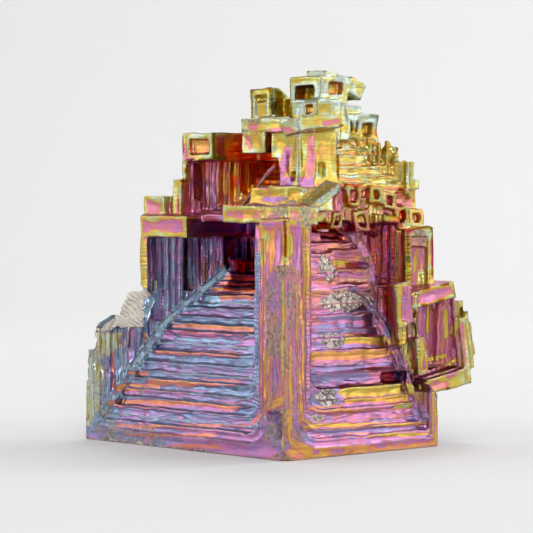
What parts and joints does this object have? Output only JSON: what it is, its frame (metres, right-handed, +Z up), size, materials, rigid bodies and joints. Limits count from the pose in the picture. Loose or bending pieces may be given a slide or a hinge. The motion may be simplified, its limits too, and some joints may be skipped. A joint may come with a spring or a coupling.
{
  "type": "bismuth hopper crystal",
  "caption": "Iridescent skeletal bismuth crystal: nested square frames stepping down into terraced pits on every side, T-shaped bars and small hollow blocks on top.",
  "frame": {"origin": "middle of the bounding box's base, on the flat face the crystal stands on", "axes": "+Z up; +X and +Y run along the crystal's own frames, away from the near vertical edge that faces the viewer in the picture"},
  "size_m": [0.0458, 0.048, 0.0604],
  "materials": {
    "bismuth": "bright bismuth metal under a thin oxide film that shows yellow, orange, pink, violet and blue; bare silvery metal where it is broken"
  },
  "bodies": {
    "root": {"bismuth_crystal": "bismuth"}
  },
  "joints": []
}
